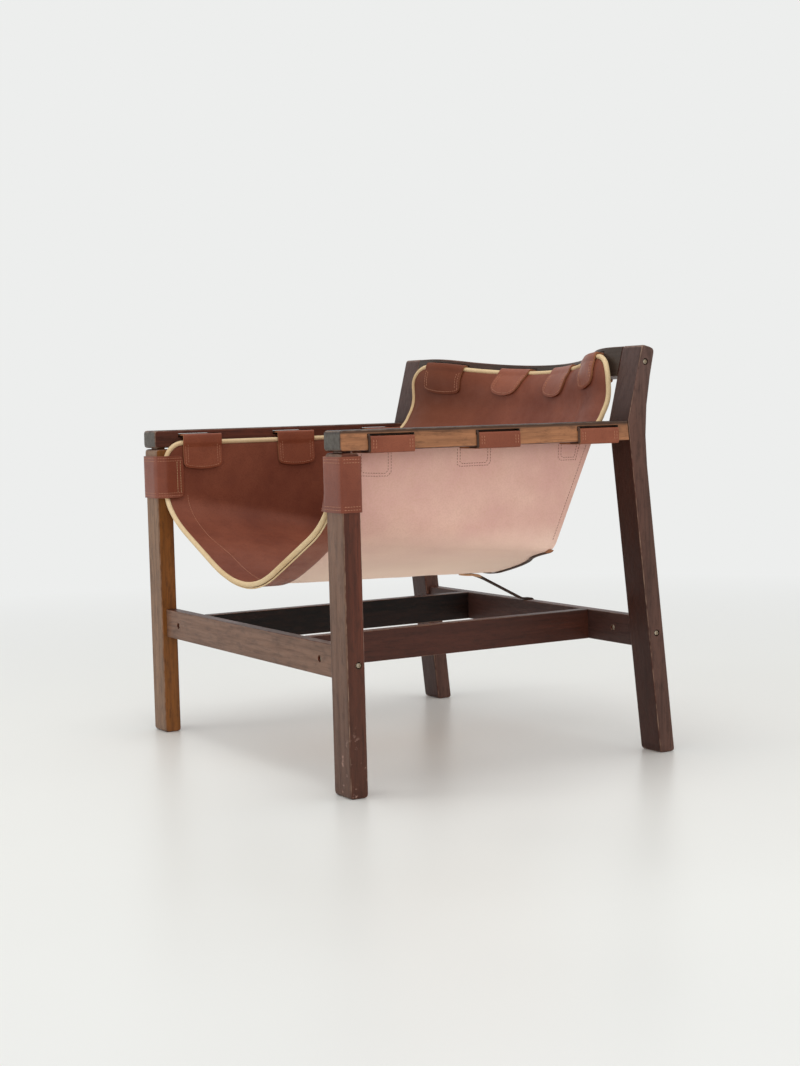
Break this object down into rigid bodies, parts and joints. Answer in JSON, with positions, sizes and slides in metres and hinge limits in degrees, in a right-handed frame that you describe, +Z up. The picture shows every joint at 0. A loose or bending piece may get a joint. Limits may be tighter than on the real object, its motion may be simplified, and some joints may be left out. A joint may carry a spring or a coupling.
{
  "type": "sling lounge chair",
  "caption": "Low lounge chair: a leather seat trough and back panel hang by strap loops from slotted hardwood arms and a bowed back rail, on straight front and raked rear legs",
  "frame": {"origin": "on the floor, under the middle of the chair's bounding box", "axes": "+Z up, the sitter looks along -Y, +X is the sitter's left"},
  "size_m": [0.721, 0.6358, 0.6387],
  "materials": {
    "frame_wood": "oiled dark hardwood with worn edges",
    "saddle_leather": "worn saddle leather, grain side in, pale flesh side out",
    "strap_leather": "satin saddle leather with sewn edges",
    "edge_piping": "cream rolled leather piping",
    "steel_hardware": "dull brassy steel",
    "dowel_wood": "plain beech"
  },
  "bodies": {
    "root": {"front_leg_left": "frame_wood", "front_leg_right": "frame_wood", "rear_leg_left": "frame_wood", "rear_leg_right": "frame_wood", "arm_left": "frame_wood", "arm_right": "frame_wood", "side_rail_left": "frame_wood", "side_rail_right": "frame_wood", "front_stretcher": "frame_wood", "rear_stretcher": "frame_wood", "back_rail": "frame_wood", "seat_sling": "saddle_leather", "back_sling": "saddle_leather", "front_hem": "saddle_leather", "seat_piping": "edge_piping", "back_piping": "edge_piping", "arm_loop_left_1": "strap_leather", "arm_loop_left_2": "strap_leather", "arm_loop_left_3": "strap_leather", "arm_loop_right_1": "strap_leather", "arm_loop_right_2": "strap_leather", "arm_loop_right_3": "strap_leather", "back_loop_1": "strap_leather", "back_loop_2": "strap_leather", "back_loop_3": "strap_leather", "back_loop_4": "strap_leather", "leg_band_left": "strap_leather", "leg_band_right": "strap_leather", "tie_strap": "strap_leather", "bolt_front_left": "steel_hardware", "bolt_front_right": "steel_hardware", "bolt_rear_left": "steel_hardware", "bolt_rear_right": "steel_hardware", "bolt_rail_left": "steel_hardware", "bolt_rail_right": "steel_hardware", "barrel_nut_front_left": "steel_hardware", "barrel_nut_front_right": "steel_hardware", "barrel_nut_rear_left": "steel_hardware", "barrel_nut_rear_right": "steel_hardware", "barrel_nut_rail_left": "steel_hardware", "barrel_nut_rail_right": "steel_hardware", "tie_screw": "steel_hardware", "dowel_front_left": "dowel_wood", "dowel_front_right": "dowel_wood", "dowel_rear_left": "dowel_wood", "dowel_rear_right": "dowel_wood", "dowel_rail_left": "dowel_wood", "dowel_rail_right": "dowel_wood", "dowel_arm_left_1": "dowel_wood", "dowel_arm_left_2": "dowel_wood", "dowel_arm_right_1": "dowel_wood", "dowel_arm_right_2": "dowel_wood"}
  },
  "joints": []
}
